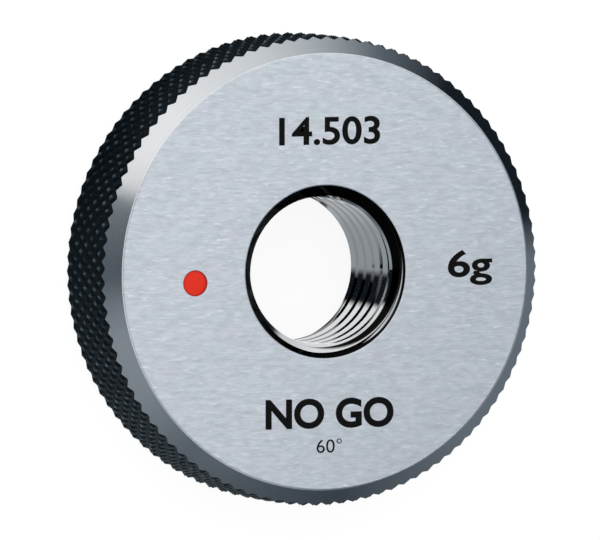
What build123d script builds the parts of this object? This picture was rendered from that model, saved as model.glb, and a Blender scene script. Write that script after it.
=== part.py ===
from build123d import *
from math import ceil, cos, pi, radians, sin, tan
import os

# Solid no-go thread ring gauge for an M16 x 2 screw thread, tolerance 6g. Millimetres.
# The ring lies on its back face: +Z runs up the bore to the marked face, +Y is the way up of
# the markings, and the origin is at the middle of the back face.

os.makedirs("parts", exist_ok=True)

# Hardened steel blank
blank_dia = 45.0  # over the points of the knurl
thickness = 12.0
bevel_radial = 1.7  # turned off the rim at both ends, through the knurl
bevel_axial = 1.63
edge_break = 0.1  # chamfer: the ground faces have no raw edge

# Diamond knurl on the rim: two sets of grooves that cross, one leaning each way from the axis
knurl_pitch = 1.2  # from groove to groove, square across them
knurl_angle = 30.0
knurl_depth = 0.4

# No-go thread: truncated, so that it touches a screw on the middle of the flanks only
thread_pitch = 2.0
flank_angle = 30.0  # half of the 60 degree form
pitch_dia = 14.503  # the smallest pitch diameter that a good screw may have
truncation = 0.1 * thread_pitch  # of the flanks, from the pitch line to the crest
relief_width = 0.5  # parallel slot that clears the crests of the screw
relief_dia = 16.2
thread_phase = 0.2  # the first groove crosses the +X side this far under the marked face
mouth_dia = 16.5  # countersink at each end of the thread
mouth_angle = 45.0

# Red enamel spot, the sign of a no-go gauge, in a flat-bottomed recess in the marked face
spot_dia = 2.5
spot_depth = 0.5
spot_centre = (-13.4, -0.8)
enamel_dome = 0.1  # the middle of the enamel stands this much above its edge
enamel_clearance = 0.02  # and this much under the ground face

blank_radius = blank_dia / 2
pitch_radius = pitch_dia / 2
crest_radius = pitch_radius - truncation
relief_radius = relief_dia / 2
mouth_radius = mouth_dia / 2
mouth_depth = (mouth_radius - crest_radius) / tan(radians(mouth_angle))
stock = 1.0  # left on the blank until the knurl and the countersinks take it off
spare_turns = 3  # the groove is cut on past both faces, so that no end of it is left
spare_length = 2 * thread_pitch  # the blank is that much longer than the groove at each end
spare_rows = 1  # the knurl is rolled on past both faces

# ------------------------------------------------------------------------------------------
# Knurled bar. Where two grooves cross they leave a low corner, and each diamond between four
# such corners is a pyramid. One pyramid, copied round every row and up the bar, is the rim.

tooth_count = round(pi * blank_dia * cos(radians(knurl_angle)) / knurl_pitch)
half_tooth = 180 / tooth_count  # degrees
row_height = knurl_pitch / (2 * sin(radians(knurl_angle)))
row_count = 2 * (ceil(thickness / 2 / row_height) + spare_rows)
bar_bottom = (thickness - row_count * row_height) / 2


def rim_corner(angle, row, high):
    """A corner of the knurl, so many degrees and rows from the first: a point or a low one."""
    radius = blank_radius if high else blank_radius - knurl_depth
    return Vector(radius, 0, bar_bottom + row * row_height).rotate(Axis.Z, angle)


point = rim_corner(0, 0, high=True)
right, left = (rim_corner(side * half_tooth, 0, high=False) for side in (1, -1))
above, below = (rim_corner(0, side, high=False) for side in (1, -1))
upper_half = [Face(Wire.make_polygon(c)) for c in ([point, right, above], [point, above, left])]
lower_half = [Face(Wire.make_polygon(c)) for c in ([point, left, below], [point, below, right])]

bar_skin = []
for row in range(row_count + 1):
    tooth = (upper_half if row < row_count else []) + (lower_half if row > 0 else [])
    # every other row sits in the gaps of the one below
    for turn in PolarLocations(0, tooth_count, start_angle=row % 2 * half_tooth):
        bar_skin += [facet.moved(Pos(0, 0, row * row_height) * turn) for facet in tooth]
for row in (0, row_count):
    corners = [rim_corner(i * half_tooth, row, i % 2 == 0) for i in range(2 * tooth_count)]
    bar_skin.append(Face(Wire.make_polygon(corners)))
knurled_bar = Solid(Shell(bar_skin))

# ------------------------------------------------------------------------------------------
# Gauge ring


def groove_half_width(radius):
    """Half the width of the thread groove along the axis, between its flanks."""
    return thread_pitch / 4 + (pitch_radius - radius) * tan(radians(flank_angle))


cutter_radius = crest_radius - truncation
flank_end = pitch_radius + (thread_pitch / 4 - relief_width / 2) / tan(radians(flank_angle))
turns = ceil(thickness / thread_pitch) + spare_turns
first_groove = thickness - thread_phase - (turns - 1) * thread_pitch

with BuildPart() as gauge_ring:
    # bored blank, longer than the thread
    with BuildSketch(Plane.XY.offset(first_groove - spare_length)):
        Circle(blank_radius + stock)
        Circle(crest_radius, mode=Mode.SUBTRACT)
    extrude(amount=turns * thread_pitch + 2 * spare_length)

    # right-hand thread, from the section of its groove through the axis
    with BuildLine() as helix:
        Helix(thread_pitch, turns * thread_pitch, pitch_radius, (0, 0, first_groove))
    with BuildSketch(Plane.XZ):
        with BuildLine():
            Polyline(
                (cutter_radius, first_groove - groove_half_width(cutter_radius)),
                (flank_end, first_groove - relief_width / 2),
                (relief_radius, first_groove - relief_width / 2),
                (relief_radius, first_groove + relief_width / 2),
                (flank_end, first_groove + relief_width / 2),
                (cutter_radius, first_groove + groove_half_width(cutter_radius)),
                close=True,
            )
        make_face()
    sweep(path=helix.wires()[0], is_frenet=True, mode=Mode.SUBTRACT, clean=False)

    # the faces, the countersinks and the rim bevels, which run out past the knurl
    bevel_slope = bevel_axial / bevel_radial
    rim_radius = blank_radius + stock
    rim_depth = (bevel_radial + stock) * bevel_slope
    with BuildSketch(Plane.XZ) as section:
        with BuildLine():
            Polyline(
                (crest_radius - stock, mouth_depth + stock),
                (mouth_radius, 0),
                (blank_radius - bevel_radial, 0),
                (rim_radius, rim_depth),
                (rim_radius, thickness - rim_depth),
                (blank_radius - bevel_radial, thickness),
                (mouth_radius, thickness),
                (crest_radius - stock, thickness - mouth_depth - stock),
                close=True,
            )
        make_face()
        face_edges = section.vertices().group_by(Axis.Y)
        chamfer(face_edges[0] + face_edges[-1], edge_break)
    revolve(axis=Axis.Z, mode=Mode.INTERSECT, clean=False)
    add(knurled_bar, mode=Mode.INTERSECT, clean=False)

    # recess of the spot
    with BuildSketch(Plane.XY.offset(thickness)):
        with Locations(spot_centre):
            Circle(spot_dia / 2)
    extrude(amount=-spot_depth, mode=Mode.SUBTRACT, clean=False)

gauge_ring.part.label = "gauge_ring"
export_step(gauge_ring.part, "parts/gauge_ring.step")

# ------------------------------------------------------------------------------------------
# Enamel of the spot: it fills the recess and domes a little, safe under the ground face

enamel_section = Plane((*spot_centre, thickness - spot_depth), (1, 0, 0), (0, -1, 0))
enamel_top = spot_depth - enamel_clearance

with BuildPart() as enamel_spot:
    with BuildSketch(enamel_section):
        with BuildLine():
            TangentArc((0, enamel_top), (spot_dia / 2, enamel_top - enamel_dome), tangent=(1, 0))
            Polyline(
                (spot_dia / 2, enamel_top - enamel_dome), (spot_dia / 2, 0), (0, 0), (0, enamel_top)
            )
        make_face()
    revolve(axis=Axis(enamel_section.origin, (0, 0, 1)))
enamel_spot.part.label = "enamel_spot"
export_step(enamel_spot.part, "parts/enamel_spot.step")
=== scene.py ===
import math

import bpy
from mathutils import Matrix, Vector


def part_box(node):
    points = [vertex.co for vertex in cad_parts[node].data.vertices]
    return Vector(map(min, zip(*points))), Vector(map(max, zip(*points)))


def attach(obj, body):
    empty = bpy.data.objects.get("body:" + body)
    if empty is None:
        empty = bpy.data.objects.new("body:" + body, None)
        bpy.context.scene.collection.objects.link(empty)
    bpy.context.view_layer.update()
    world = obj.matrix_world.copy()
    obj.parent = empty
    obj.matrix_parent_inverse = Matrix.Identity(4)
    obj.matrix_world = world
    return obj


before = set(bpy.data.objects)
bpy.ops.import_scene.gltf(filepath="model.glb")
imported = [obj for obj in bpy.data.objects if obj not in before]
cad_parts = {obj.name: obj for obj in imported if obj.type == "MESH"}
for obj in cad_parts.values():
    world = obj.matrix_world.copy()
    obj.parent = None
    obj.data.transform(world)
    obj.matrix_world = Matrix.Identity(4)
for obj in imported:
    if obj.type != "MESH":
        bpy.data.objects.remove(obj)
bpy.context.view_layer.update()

# %% [markdown]
# # A no-go thread ring gauge
# The object is a hardened steel ring with a screw thread in its bore. A good screw starts into it
# and then stops, so it is the "no go" member of a pair, and a red enamel spot says so.
#
# The ring and its enamel come from CAD at their real size and stay as they are. What is made here
# is the way they look: ground, turned, blackened and lapped steel, glossy enamel and etched marks.
# Everything is in metres, with the ring flat on the floor and its marked face up.

mm = 0.001
ring_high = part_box("gauge_ring")[1]
thickness = ring_high.z
blank_radius = ring_high.x
print(f"ring {2 * blank_radius / mm:.2f} mm across, {thickness / mm:.2f} mm thick")

# %% [markdown]
# ## Where one finish ends and the next begins
# The whole ring is one mesh, so its finishes are told apart by place. Seen in section, every point
# has a radius from the axis and a height from the mid-plane, and the two ends are alike. These are
# the turned sizes at which the finish changes, and the place of the enamel spot.

# %% Turned sizes of the blank
half_thickness = thickness / 2
bevel_radial = 1.7 * mm
bevel_axial = 1.63 * mm
face_radius = blank_radius - bevel_radial
mouth_radius = 8.25 * mm
spot_radius = 1.25 * mm
spot_centre = Vector((-13.4, -0.8, 0)) * mm
print(f"flat face from {mouth_radius / mm:.2f} to {face_radius / mm:.2f} mm from the axis")

# %% [markdown]
# ## Writing a material as a sum
# A material is a net of small nodes. Placing them one by one hides what they work out, so this
# class wraps a socket and lets Python's own signs do it: `a * b + 1` on two values adds a Multiply
# and an Add node. `rise` is the one test that the masks need: where is this value past a limit?

# %% Values


class Value:
    """A socket of a node tree. Arithmetic on it adds Math nodes."""

    def __init__(self, nodes, socket):
        self.nodes = nodes
        self.socket = socket

    def math(self, operation, *terms):
        return self.nodes.add("Math", {"operation": operation}, dict(enumerate(terms)))

    def __add__(self, other):
        return self.math("ADD", self, other)

    def __radd__(self, other):
        return self.math("ADD", other, self)

    def __sub__(self, other):
        return self.math("SUBTRACT", self, other)

    def __rsub__(self, other):
        return self.math("SUBTRACT", other, self)

    def __mul__(self, other):
        return self.math("MULTIPLY", self, other)

    def __rmul__(self, other):
        return self.math("MULTIPLY", other, self)

    def __pow__(self, other):
        return self.math("POWER", self, other)

    def __abs__(self):
        return self.math("ABSOLUTE", self)

    def rise(self, low, high):
        """0 where this value is under low, 1 where it is over high, and a straight ramp between."""
        limits = {"Value": self, "From Min": low, "From Max": high}
        return self.nodes.add("MapRange", {"clamp": True}, limits)

    def toward(self, target, share):
        """This value where share is 0, the target where share is 1."""
        return self + (target - self) * share


print("values: +, -, *, ** and abs() add Math nodes")

# %% [markdown]
# ## Every other node
# Whatever isn't arithmetic comes from the one method `add`: it takes the kind of node, its
# settings, such as a noise's dimensions or a ramp's stops, and what goes into its sockets. A Math
# node would turn a colour grey, so colours are blended by a Mix node instead. The greys of a ramp
# lean to blue as they darken, as shade does under a pale sky.

# %% Nodes


def grey(level, tint=(1, 1, 1)):
    """A colour of that level with a light tint."""
    return (*(level * part for part in tint), 1)


def set_stops(elements, stops):
    """Gives a colour ramp its stops: a place from 0 to 1 and a level, bluer where it is darker."""
    while len(elements) < len(stops):
        elements.new(1)
    for element, (place, level) in zip(elements, stops):
        element.position = place
        element.color = (level**1.1, level, level**0.92, 1)


class Nodes:
    """A node tree, and the one method that adds nodes to it."""

    def __init__(self, tree):
        self.tree = tree
        tree.nodes.clear()

    def add(self, kind, settings, inputs, output=0):
        """Adds a node, with its settings first and then its sockets, and gives one output."""
        node = self.tree.nodes.new("ShaderNode" + kind)
        for name, setting in settings.items():
            if name == "stops":
                set_stops(node.color_ramp.elements, setting)
            else:
                setattr(node, name, setting)
        for name, value in inputs.items():
            if isinstance(value, Value):
                self.tree.links.new(value.socket, node.inputs[name])
            else:
                node.inputs[name].default_value = value
        return Value(self, node.outputs[output]) if node.outputs else None

    def blend(self, share, first, second):
        """A colour between two: the first where share is 0, the second where it is 1."""
        inputs = {0: share, 6: first, 7: second}
        return self.add("Mix", {"data_type": "RGBA"}, inputs, output=2)

    def place(self):
        """Where a point is on its own mesh."""
        return self.add("TexCoord", {}, {}, "Object")

    def along(self, place, axis):
        """How far a place lies along the axis X, Y or Z."""
        return self.add("SeparateXYZ", {}, {"Vector": place}, axis)


def new_finish(name):
    """A new material and the nodes to write it with."""
    material = bpy.data.materials.new(name)
    material.use_nodes = True
    return material, Nodes(material.node_tree)


print("nodes: one method adds every kind that isn't arithmetic")

# %% [markdown]
# ## The steel, by place
# One material dresses the ring, because the ring is one piece of steel. It has five finishes:
# ground faces, turned bevels, a blackened knurl, black countersinks and a lapped bore. Five
# materials on five sets of faces would do too, but the skin comes from CAD as one, and a mask
# worked out from radius and height is sharp at any distance. Each mask is 1 on its finish and 0
# elsewhere, with a blur of a few hundredths of a millimetre between. A thread groove runs out
# through each countersink: the black stops at its wall, which stands further from the axis than the
# cone does.

# %% Masks of the five finishes
blur = 0.02 * mm
margin = 0.05 * mm
countersink_width = 1.0 * mm
groove_step = 0.2 * mm
steel, nodes = new_finish("gauge_steel_finish")
place = nodes.place()
x, y, z = (nodes.along(place, axis) for axis in "XYZ")
radius = (x * x + y * y) ** 0.5
height = abs(z - half_thickness)

slope = math.hypot(bevel_radial, bevel_axial)
beyond_face = (radius - face_radius) * (bevel_axial / slope)
above_face = (height - half_thickness) * (bevel_radial / slope)
is_rim = radius.rise(face_radius, face_radius + margin)
is_bevel = (beyond_face + above_face).rise(-margin, blur - margin)
is_face = height.rise(half_thickness - 1.5 * blur, half_thickness - 0.5 * blur)
is_knurl = is_rim * (1 - is_bevel) * (1 - is_face)
is_bevel = is_bevel * is_rim

is_bore = 1 - radius.rise(mouth_radius - blur, mouth_radius + blur)
past_cone = (radius - mouth_radius) - (height - half_thickness)
cone_end = mouth_radius - countersink_width
is_cone = is_bore * (1 - past_cone.rise(groove_step, 1.5 * groove_step))
is_cone = is_cone * radius.rise(cone_end - blur, cone_end + blur)
print(f"masks: {len(steel.node_tree.nodes)} nodes")

# %% [markdown]
# ## Grinding scratches
# A surface grinder drags its wheel one way over the face, so the scratches are straight, short and
# all along X. A wave texture would give neat stripes. Noise that is stretched along one axis gives
# scratches that start and stop, and three sizes of it add up to a ground face: the wide ones that
# the eye sees, fine ones between them, and hair lines. A fourth paints a few bright glints into the
# colour: painted highlights.

# %% Stretched noise


def stretched_noise(nodes, place, size, roughness=0.6, detail=3):
    """Noise whose grains have that size, in metres, along x, y and z."""
    scaled = nodes.add("Mapping", {}, {"Vector": place, "Scale": [1 / part for part in size]})
    inputs = {"Vector": scaled, "Scale": 1, "Detail": detail, "Roughness": roughness}
    return nodes.add("TexNoise", {"normalize": True}, inputs, "Fac")


scratches = stretched_noise(nodes, place, (1.2 * mm, 0.36 * mm, 5 * mm), roughness=0.5)
fine_scratches = stretched_noise(nodes, place, (0.7 * mm, 0.11 * mm, 5 * mm))
hair_lines = stretched_noise(nodes, place, (8 * mm, 0.035 * mm, 5 * mm), detail=1)
painted_glints = stretched_noise(nodes, place, (0.9 * mm, 0.24 * mm, 5 * mm), roughness=0.4, detail=1)
grain = scratches * 0.5 + fine_scratches * 0.32 + hair_lines * 0.18
print(f"with scratches: {len(steel.node_tree.nodes)} nodes")

# %% [markdown]
# ## Turning, knurling and lapping
# Ground steel is wiped with oil against rust, and the film tints it faintly, rosy here and greenish
# there, under the scratches. The bevels are turned, so their marks run round the axis: noise in one
# dimension that reads only the radius. The knurl is blackened in a hot oxide bath, and handling
# wears its points bare in specks. The countersinks are coloured a plain black. The bore is lapped
# to a clouded mirror.

# %% Colours of the five finishes
rosy = (0.945, 0.992, 1.095)
greenish = (0.905, 1.006, 1.075)
neutral = (0.98, 1.0, 1.02)
inky = (0.62, 1.0, 1.22)

oil_film = stretched_noise(nodes, place, (3 * mm, 2.4 * mm, 3 * mm), detail=2).rise(0.35, 0.65)
dark_ground = nodes.blend(oil_film, grey(0.54, rosy), grey(0.54, greenish))
light_ground = nodes.blend(oil_film, grey(0.82, rosy), grey(0.82, greenish))
ground = nodes.blend(grain.rise(0.3, 0.7), dark_ground, light_ground)
# Painted highlights: a few near-white specks painted into the ground colour as glints.
ground = nodes.blend(painted_glints.rise(0.6, 0.85), ground, grey(0.88, (0.94, 1.0, 1.06)))

cut_width = 0.06 * mm
turning_inputs = {"W": radius * (1 / cut_width), "Scale": 1}
turning = nodes.add("TexNoise", {"noise_dimensions": "1D"}, turning_inputs, "Fac")
turned = nodes.blend(turning.rise(0.3, 0.7), grey(0.72, neutral), grey(0.82, neutral))

points = radius.rise(blank_radius - 0.2 * mm, blank_radius - 0.04 * mm)
specks = stretched_noise(nodes, place, (0.6 * mm, 0.6 * mm, 0.6 * mm))
worn = points * specks.rise(0.4, 0.6)
knurled = nodes.blend(worn, grey(0.026, inky), grey(0.45, (0.84, 1.0, 1.1)))

clouding = stretched_noise(nodes, place, (9 * mm, 6 * mm, 9 * mm))
lapped = nodes.blend(clouding, grey(0.62, neutral), grey(0.78, neutral))

colour = nodes.blend(is_bore, ground, lapped)
# The countersinks are coloured a plain black.
colour = nodes.blend(is_cone, colour, grey(0.005))
colour = nodes.blend(is_bevel, colour, turned)
colour = nodes.blend(is_knurl, colour, knurled)
print(f"with colours: {len(steel.node_tree.nodes)} nodes")

# %% [markdown]
# ## The steel's gloss
# What tells the finishes apart is less their colour than how sharply they mirror. The ground face
# blurs its surroundings, the turned bevels show them softly, the lapped bore is almost a mirror,
# and the black knurl is dull. A little bump turns the scratches and turning marks to the light.
# The bore gets none, because a mirror shows even the faintest bump.

# %% Gauge steel
roughness = 0.30 + 0.12 * grain
roughness = roughness.toward(0.16, is_bevel)
roughness = roughness.toward(0.04 + 0.04 * clouding, is_bore)
roughness = roughness.toward(0.42, is_knurl)

relief = grain * is_face + turning * is_bevel * 0.5 + specks * is_knurl
bump_inputs = {"Height": relief, "Strength": 0.25, "Distance": 0.004 * mm}
bumped = nodes.add("Bump", {}, bump_inputs, "Normal")
steel_inputs = {
    "Base Color": colour,
    "Metallic": 1.0,
    "Roughness": roughness,
    "Normal": bumped,
}
surface = nodes.add("BsdfPrincipled", {}, steel_inputs)
nodes.add("OutputMaterial", {}, {"Surface": surface})

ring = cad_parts["gauge_ring"]
ring.data.materials.clear()
ring.data.materials.append(steel)
print(f"steel finish: {len(steel.node_tree.nodes)} nodes")

# %% [markdown]
# ## The enamel
# The spot is stoved enamel in a shallow recess, and its own mesh is a low dome. The colour is
# deepest at the rim, where the enamel meets the steel. The surface is almost mirror smooth, with
# the slight mottle that a brushed coat keeps. A plain red would look like a sticker.

# %% Red enamel
enamel, nodes = new_finish("red_enamel_finish")
place = nodes.place()
to_centre = {0: place, 1: (*spot_centre.xy, thickness)}
from_centre = nodes.add("VectorMath", {"operation": "DISTANCE"}, to_centre, "Value")
at_rim = from_centre.rise(0.8 * spot_radius, spot_radius)
mottle = stretched_noise(nodes, place, (0.6 * mm, 0.6 * mm, 0.6 * mm))
depth = at_rim * 0.8 + mottle * 0.2
bump_inputs = {"Height": mottle, "Strength": 0.15, "Distance": 0.01 * mm}
enamel_inputs = {
    "Base Color": nodes.blend(depth, (0.80, 0.022, 0.004, 1), (0.42, 0.006, 0.003, 1)),
    "Roughness": 0.12 + 0.1 * mottle,
    "Specular IOR Level": 0.25,
    "Normal": nodes.add("Bump", {}, bump_inputs, "Normal"),
}
surface = nodes.add("BsdfPrincipled", {}, enamel_inputs)
nodes.add("OutputMaterial", {}, {"Surface": surface})

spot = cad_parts["enamel_spot"]
spot.data.materials.clear()
spot.data.materials.append(enamel)
print(f"enamel finish: {len(enamel.node_tree.nodes)} nodes")

# %% [markdown]
# ## The etching's black
# Gauges carry their limit, class and kind in marks burnt black into the face by an etching
# current. The burnt film is dull, and the grinding scratches still show in it, so it takes the same
# stretched noise in a finer size.

# %% Black etching
etching, nodes = new_finish("black_etching")
place = nodes.place()
bite = stretched_noise(nodes, place, (0.35 * mm, 0.08 * mm, 1 * mm))
etching_inputs = {
    "Base Color": nodes.blend(bite, grey(0.002), grey(0.008)),
    "Roughness": 0.45 + 0.3 * bite,
    "Specular IOR Level": 0.05,
}
surface = nodes.add("BsdfPrincipled", {}, etching_inputs)
nodes.add("OutputMaterial", {}, {"Surface": surface})
print(f"etching finish: {len(etching.node_tree.nodes)} nodes")

# %% [markdown]
# ## Etched marks
# The marks could be cut as grooves, but etching has no depth to speak of: it leaves a film. So each
# mark is a text that is extruded into a thin plate, made a mesh, and set through the surface with
# its top a film's thickness proud. The text is fitted to a width and a height, as an engraver fits
# a stencil to the room on the face. The marks are the screw's pitch diameter, its tolerance class,
# the member of the pair and the thread's angle. A plate's front, back and sides come as separate
# skins, so their shared corners are merged to close it.

# %% Marks on the face
film = 0.005 * mm
mark_root = 0.05 * mm
curve_steps = 6
merge_distance = 0.0001


def text_plate(name, words, weight):
    """Words as one closed plate about a unit high, with its letters thickened by weight."""
    bpy.ops.object.select_all(action="DESELECT")
    bpy.ops.object.text_add(location=(0, 0, 0))
    text = bpy.context.object.data
    text.body = words
    text.size = 1
    text.offset = weight
    text.extrude = 0.5
    text.resolution_u = curve_steps
    bpy.ops.object.convert(target="MESH")
    bpy.ops.object.mode_set(mode="EDIT")
    bpy.ops.mesh.select_all(action="SELECT")
    bpy.ops.mesh.remove_doubles(threshold=merge_distance)
    bpy.ops.mesh.normals_make_consistent(inside=False)
    bpy.ops.object.mode_set(mode="OBJECT")
    plate = bpy.context.object
    plate.name = name
    return plate


def mark(name, words, middle, width, cap_height, weight):
    """Etches words on the marked face, fitted to a width and a height, and gives the piece."""
    piece = text_plate(name, words, weight)
    corners = [vertex.co for vertex in piece.data.vertices]
    low = Vector(min(corner[i] for corner in corners) for i in range(3))
    high = Vector(max(corner[i] for corner in corners) for i in range(3))
    size = high - low
    scale = Vector((width / size.x, cap_height / size.y, (film + mark_root) / size.z))
    centre = Vector((*middle, thickness + (film - mark_root) / 2))
    fit = Matrix.Diagonal(scale).to_4x4() @ Matrix.Translation(-(low + high) / 2)
    piece.data.transform(Matrix.Translation(centre) @ fit)
    piece.data.materials.clear()
    piece.data.materials.append(etching)
    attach(piece, "root")
    return piece


marks = [
    mark("mark_diameter", "14.503", (0.4 * mm, 13.45 * mm), 10.4 * mm, 2.7 * mm, 0.02),
    mark("mark_class", "6g", (14.9 * mm, 0.1 * mm), 4.6 * mm, 3.4 * mm, 0.02),
    mark("mark_member", "NO GO", (0.4 * mm, -13.5 * mm), 13.2 * mm, 2.9 * mm, 0.035),
    mark("mark_angle", "60°", (0.35 * mm, -16.6 * mm), 2.6 * mm, 1.35 * mm, 0),
]
for piece in marks:
    print(piece.name, len(piece.data.polygons), "faces")

# %% [markdown]
# ## The studio
# The floor is a wide white sheet under a plain pale sky. More light would burn such a sheet out to
# white, but it would burn out the ring too. So the light stays at a plain level, and the floor and
# the sky glow only towards the eye: straight, in a mirror or through glass. A fifth of the floor
# stays paper, so the ring's shadow still shows on it.

# %% Floor and sky
white_share = 0.8
white_strength = 1.12
sky_level = 0.75


def is_seen(nodes):
    """1 for a ray that shows a thing to the eye, straight, mirrored or through glass."""
    kinds = ("Is Camera Ray", "Is Glossy Ray", "Is Transmission Ray")
    straight, mirrored, through = (nodes.add("LightPath", {}, {}, kind) for kind in kinds)
    return (straight + mirrored + through).rise(0, 1)


bpy.ops.object.select_all(action="DESELECT")
bpy.ops.mesh.primitive_plane_add(size=60)
floor = bpy.context.object
floor.name = "floor"
floor_finish, nodes = new_finish("floor_white")
paper = nodes.add("BsdfDiffuse", {}, {"Color": grey(0.8)})
glow = nodes.add("Emission", {}, {"Color": grey(1), "Strength": white_strength})
surface = nodes.add("MixShader", {}, {0: is_seen(nodes) * white_share, 1: paper, 2: glow})
nodes.add("OutputMaterial", {}, {"Surface": surface})
floor.data.materials.append(floor_finish)

world = bpy.data.worlds.new("studio")
bpy.context.scene.world = world
world.use_nodes = True
nodes = Nodes(world.node_tree)
strength = sky_level + (1 - sky_level) * is_seen(nodes)
background = nodes.add("Background", {}, {"Color": grey(1), "Strength": strength})
nodes.add("OutputWorld", {}, {"Surface": background})
print(f"floor {floor.dimensions.x:.0f} m wide, sky at {sky_level}")

# %% [markdown]
# ## What the polished steel mirrors
# Polished metal has no look of its own: it shows what stands round it, and in an empty white studio
# it is white. In a studio for metal, grey and black cards stand close round it, just out of view,
# and the bevels take their dark and light stretches from them. Here the cards are one funnel round
# the ring, seen only in reflections. Its grey changes with the bearing, and it is painted in four
# bands: low, middle and high on the wall, and near the ring on the floor. The low band shapes the
# bevels. The middle one is lighter towards -Y, which is what the flat face mirrors to an eye behind
# the ring.
#
# Each stop is a bearing in degrees from the +X side and a level from black, 0, to white, 1. The low
# and the middle band share their stops from 40 to 222 degrees.

# %% Greys of the cards
white_card = 1.0
lower_stops = (
    (40, 0.012),
    (59, 0.15),
    (76, 0.5),
    (92, 0.75),
    (125, white_card),
    (152, white_card),
    (158, 0.26),
    (184, 0.12),
    (203, 0.3),
    (222, 0.28),
)
low_stops = (
    (0, 0.18),
    (8, 0.012),
    *lower_stops,
    (245, 0.13),
    (290, 0.06),
    (323, 0.18),
    (360, 0.18),
)
middle_stops = (
    (0, 0.012),
    *lower_stops,
    (245, 0.14),
    (270, 0.45),
    (345, 0.45),
    (360, 0.012),
)
high_stops = (
    (0, 0.55),
    (45, 0.85),
    (60, white_card),
    (140, white_card),
    (148, 0.01),
    (182, 0.01),
    (190, 0.38),
    (240, 0.42),
    (270, 0.6),
    (300, 0.05),
    (335, 0.1),
    (350, 0.45),
    (360, 0.55),
)
near_stops = (
    (0, 0.12),
    (90, 0.06),
    (150, 0.08),
    (180, 0.2),
    (215, 0.3),
    (250, 0.3),
    (290, 0.14),
    (360, 0.12),
)
bands = (low_stops, middle_stops, high_stops, near_stops)
print(f"cards: {sum(len(stops) for stops in bands)} stops in {len(bands)} bands")

# %% [markdown]
# ## Painting the cards
# A card only has to look right in a mirror, so it glows with its own grey and needs no light. The
# bearing comes from an arctangent of y and x, and a colour ramp turns it into a grey.

# %% Card finish
low_top = 24 * mm
middle_top = 40 * mm
band_blur = 2 * mm
near_end = blank_radius + 9 * mm
far_start = blank_radius + 20 * mm


def bearing_of(x, y):
    """The bearing of a point, from 0 to 1 for a whole turn from the +X side."""
    turn = x.nodes.add("Math", {"operation": "ARCTAN2"}, {0: y, 1: x}) * (0.5 / math.pi)
    return turn.math("FRACT", turn + 1)


def painted(bearing, stops):
    """The grey of a card along its bearing, from stops in degrees."""
    around = [(degrees / 360, level) for degrees, level in stops]
    return bearing.nodes.add("ValToRGB", {"stops": around}, {"Fac": bearing})


def glowing(nodes, colour):
    """Ends a finish that glows with a colour."""
    glow = nodes.add("Emission", {}, {"Color": colour, "Strength": 1.0})
    nodes.add("OutputMaterial", {}, {"Surface": glow})


cards_finish, nodes = new_finish("card_greys")
place = nodes.place()
x, y, z = (nodes.along(place, axis) for axis in "XYZ")
bearing = bearing_of(x, y)
is_middle = z.rise(low_top - band_blur, low_top + band_blur)
is_high = z.rise(middle_top - band_blur, middle_top + band_blur)
is_far = ((x * x + y * y) ** 0.5).rise(near_end, far_start)
wall = nodes.blend(is_middle, painted(bearing, low_stops), painted(bearing, middle_stops))
wall = nodes.blend(is_high, wall, painted(bearing, high_stops))
glowing(nodes, nodes.blend(is_far, painted(bearing, near_stops), wall))
print(f"card finish: {len(cards_finish.node_tree.nodes)} nodes")

# %% [markdown]
# ## The funnel of cards
# The wall is an open cone that leans outwards and ends 60 degrees up, so the flat face, seen from
# the camera, mirrors the open sky over it. Its lower edge is extruded and drawn in towards the
# ring, just above the floor, until it lies under the bevel: the lower bevel looks down, and would
# mirror the white floor there.

# %% Wall and floor card
card_sides = 72
card_inner = face_radius + 0.4 * mm
card_corner = 70 * mm
card_top_radius = 110 * mm
card_top = 190 * mm
card_lift = 0.3 * mm


def only_mirrored(card):
    """A card that only reflections see: it hides nothing and casts no shade."""
    card.visible_camera = False
    card.visible_diffuse = False
    card.visible_shadow = False
    card.visible_transmission = False


bpy.ops.object.select_all(action="DESELECT")
bpy.ops.mesh.primitive_cone_add(
    vertices=card_sides,
    radius1=card_corner,
    radius2=card_top_radius,
    depth=card_top - card_lift,
    end_fill_type="NOTHING",
    location=(0, 0, (card_top + card_lift) / 2),
)
bpy.ops.object.transform_apply(location=True, rotation=True, scale=True)
cards = bpy.context.object
cards.name = "cards"
bpy.ops.object.mode_set(mode="EDIT")
bpy.ops.mesh.select_mode(type="EDGE")
bpy.ops.mesh.select_all(action="DESELECT")
bpy.ops.object.mode_set(mode="OBJECT")
for edge in cards.data.edges:
    heights = [cards.data.vertices[i].co.z for i in edge.vertices]
    edge.select = max(heights) < 2 * card_lift
bpy.ops.object.mode_set(mode="EDIT")
bpy.ops.mesh.extrude_region_move()
shrink = card_inner / card_corner
bpy.ops.transform.resize(value=(shrink, shrink, 1), center_override=(0, 0, card_lift))
bpy.ops.object.mode_set(mode="OBJECT")
cards.data.materials.append(cards_finish)
only_mirrored(cards)
print(f"cards: {len(cards.data.polygons)} faces")

# %% [markdown]
# ## The card under the bore
# The bore's wall mirrors what lies under the ring. A small grey disc there gives the thread its
# grey, and a black wedge of it gives the dark band that runs down the wall.

# %% Bore card
bore_card_sides = 48
bore_card_radius = 6.9 * mm
bore_level = 0.32
dark_from = -42
dark_to = -7
dark_blur = 3

bore_finish, nodes = new_finish("bore_card_grey")
place = nodes.place()
x, y = (nodes.along(place, axis) for axis in "XY")
degrees = nodes.add("Math", {"operation": "ARCTAN2"}, {0: y, 1: x}) * (180 / math.pi)
after_start = degrees.rise(dark_from - dark_blur, dark_from + dark_blur)
after_end = degrees.rise(dark_to - dark_blur, dark_to + dark_blur)
is_dark = after_start * (1 - after_end)
glowing(nodes, nodes.blend(is_dark, grey(bore_level), grey(0)))

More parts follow.
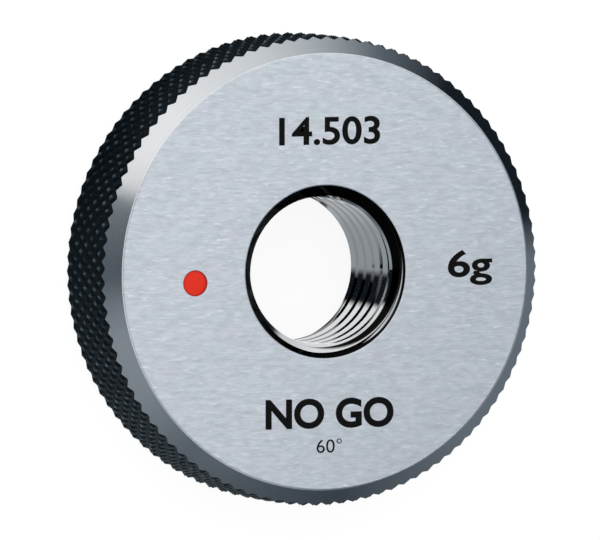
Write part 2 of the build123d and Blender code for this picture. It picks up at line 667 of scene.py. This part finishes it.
bpy.ops.object.select_all(action="DESELECT")
bpy.ops.mesh.primitive_circle_add(
    vertices=bore_card_sides, radius=bore_card_radius, fill_type="NGON", location=(0, 0, card_lift)
)
bore_card = bpy.context.object
bore_card.name = "bore_card"
bore_card.data.materials.append(bore_finish)
only_mirrored(bore_card)
print(f"bore card {2 * bore_card_radius / mm:.1f} mm across")

# %% [markdown]
# ## The lamp
# One wide softbox hangs over the upper left. It is large and weak, so the shadow is soft. Mirrors
# don't show it: its square shape would burn a hard white patch into the bevels.

# %% Softbox
softbox_place = Vector((-0.35, 0.45, 0.8))
bpy.ops.object.light_add(type="AREA", location=softbox_place)
softbox = bpy.context.object
softbox.name = "softbox"
softbox.data.size = 0.9
softbox.data.energy = 3.0
softbox.rotation_euler = softbox_place.to_track_quat("Z", "Y").to_euler()
softbox.visible_glossy = False
print(f"softbox {softbox.data.size} m wide, {softbox_place.length:.2f} m away")

# %% [markdown]
# ## The camera
# A long lens looks down on the marked face from its left, and from slightly above its middle. From
# a metre and a half away the near and the far rim are drawn at almost one scale, as in a catalogue.
# The knurled side shows left of the face, so the face stands a little right of the frame's middle.
# The eye is moved sideways for that and not turned, which would change the view into the bore.

# %% Camera
picture_width = 600
lens_distance = 1.58
focal_pixels = 16590
sensor_width = 36
camera_turn = math.radians(22.26)
camera_lift = math.radians(3.25)
face_offset = (2.46 * mm, -0.18 * mm)

right = Vector((math.cos(camera_turn), 0, math.sin(camera_turn)))
outward = Vector((-math.sin(camera_turn), 0, math.cos(camera_turn)))
to_camera = outward * math.cos(camera_lift) + Vector((0, math.sin(camera_lift), 0))
up = to_camera.cross(right)
face_middle = Vector((0, 0, thickness))
eye = face_middle + to_camera * lens_distance - right * face_offset[0] - up * face_offset[1]

bpy.ops.object.camera_add()
camera = bpy.context.object
camera.data.sensor_width = sensor_width
camera.data.lens = focal_pixels * sensor_width / picture_width
camera.data.clip_start = 0.05
camera.data.clip_end = 100
facing = Matrix((right, up, to_camera)).transposed().to_4x4()
camera.matrix_world = Matrix.Translation(eye) @ facing
bpy.context.scene.camera = camera
print(f"lens {camera.data.lens:.0f} mm at {lens_distance} m")

# %% [markdown]
# ## Colours as they are
# The Standard view shows a colour as it is written. Filmic views would grey the whites and turn the
# red.

# %% View settings
bpy.context.scene.view_settings.view_transform = "Standard"
